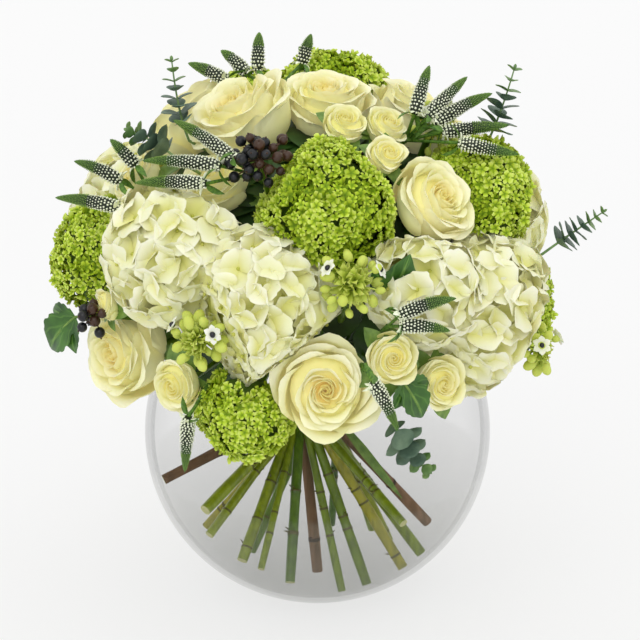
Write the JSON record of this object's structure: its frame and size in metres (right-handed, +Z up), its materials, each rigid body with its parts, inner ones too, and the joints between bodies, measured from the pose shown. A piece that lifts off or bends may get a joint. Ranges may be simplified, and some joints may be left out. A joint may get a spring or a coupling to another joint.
{
  "type": "floral table centerpiece",
  "caption": "Hand-tied dome of cream roses, hydrangea, guelder rose balls and speedwell spikes standing in a clear glass fishbowl, as a table centre.",
  "frame": {"origin": "on the table, under the middle of the bowl", "axes": "+Z up along the bowl's axis, -Y towards the front of the bouquet, +X to its right"},
  "size_m": [0.3875, 0.3735, 0.405],
  "materials": {
    "glass": "clear and polished",
    "twine": "rough natural fibre",
    "green_stem": "smooth green skin with leaf scars",
    "woody_stem": "dull brown bark",
    "rose": "velvety cream petals",
    "hydrangea": "thin white petals with green hearts",
    "guelder": "small lime florets",
    "star": "waxy yellow-green buds",
    "berry": "shiny and nearly black",
    "speedwell": "green spikes with white buds",
    "gum": "dull grey-green leaves",
    "leaf": "half-gloss green leaves"
  },
  "bodies": {
    "root": {"glass_bowl": "glass", "binding_twine": "twine", "green_stems": "green_stem", "woody_stem_left": "woody_stem", "woody_stem_middle": "woody_stem", "woody_stem_right": "woody_stem", "rose_front": "rose", "rose_right": "rose", "rose_left": "rose", "rose_top": "rose", "rose_crown": "rose", "rose_rear_right": "rose", "rose_rear_left": "rose", "rose_back_right": "rose", "rose_back_left": "rose", "rose_back_top": "rose", "spray_rose_left": "rose", "spray_rose_low_left": "rose", "spray_rose_bud": "rose", "spray_rose_upper": "rose", "spray_roses_top": "rose", "spray_roses_front": "rose", "spray_roses_back": "rose", "hydrangea_left": "hydrangea", "hydrangea_front": "hydrangea", "hydrangea_middle": "hydrangea", "hydrangea_right": "hydrangea", "hydrangea_rear_right": "hydrangea", "hydrangea_rear_left": "hydrangea", "hydrangea_back": "hydrangea", "guelder_centre": "guelder", "guelder_left": "guelder", "guelder_right": "guelder", "guelder_low": "guelder", "guelder_top": "guelder", "guelder_side": "guelder", "guelder_back": "guelder", "star_front": "star", "star_low": "star", "star_side": "star", "star_top": "star", "berries_top": "berry", "berries_side": "berry", "speedwell_left": "speedwell", "speedwell_far_left": "speedwell", "speedwell_top": "speedwell", "speedwell_right": "speedwell", "speedwell_middle": "speedwell", "speedwell_back": "speedwell", "speedwell_low_right": "speedwell", "speedwell_low_left": "speedwell", "gum_top_left": "gum", "gum_left": "gum", "gum_top_right": "gum", "gum_right": "gum", "gum_back": "gum", "gum_low_right": "gum", "leaf_side": "leaf", "leaf_middle": "leaf", "leaf_low": "leaf"}
  },
  "joints": []
}
